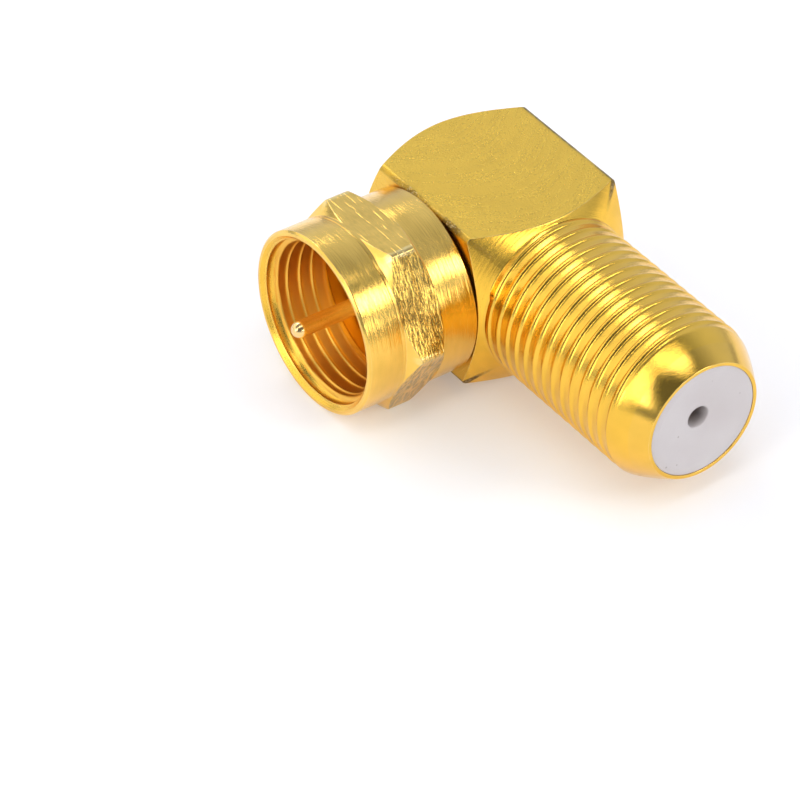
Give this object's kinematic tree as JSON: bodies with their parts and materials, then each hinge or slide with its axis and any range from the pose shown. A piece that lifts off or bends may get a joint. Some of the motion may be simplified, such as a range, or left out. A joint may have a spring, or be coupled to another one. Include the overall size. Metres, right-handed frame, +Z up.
{
  "type": "right-angle F connector adapter",
  "caption": "Right-angle coaxial adapter with a captive hex nut and centre pin on one side and a threaded barrel with a spring socket on the other.",
  "frame": {"origin": "on the flat underside of the square block, straight below the crossing of the two connector axes", "axes": "+X out of the nut's mouth along the male axis, +Y out of the threaded barrel along the female axis, +Z up"},
  "size_m": [0.0183, 0.0241, 0.0105],
  "materials": {
    "body_plating": "satin gold plating over turned brass",
    "nut_plating": "bright gold plating with fine turning lines and milled flats",
    "ferrule_plating": "bright gold plating",
    "sleeve_plastic": "smooth white plastic",
    "pin_plating": "polished gold plating",
    "contact_plating": "bright gold plating",
    "support_plastic": "smooth white plastic",
    "face_plastic": "smooth lilac-white plastic with a few dark specks"
  },
  "bodies": {
    "adapter": {"elbow_body": "body_plating", "nut_ferrule": "ferrule_plating", "ferrule_insulator": "sleeve_plastic", "centre_pin": "pin_plating", "socket_contact": "contact_plating", "support_insulator": "support_plastic", "face_insulator": "face_plastic"},
    "nut": {"coupling_nut": "nut_plating"}
  },
  "joints": [
    {"name": "nut_spin", "type": "hinge", "parent": "adapter", "child": "nut", "pos_m": [0.0085, 0, 0.0049], "axis": [1, 0, 0], "continuous": true}
  ]
}
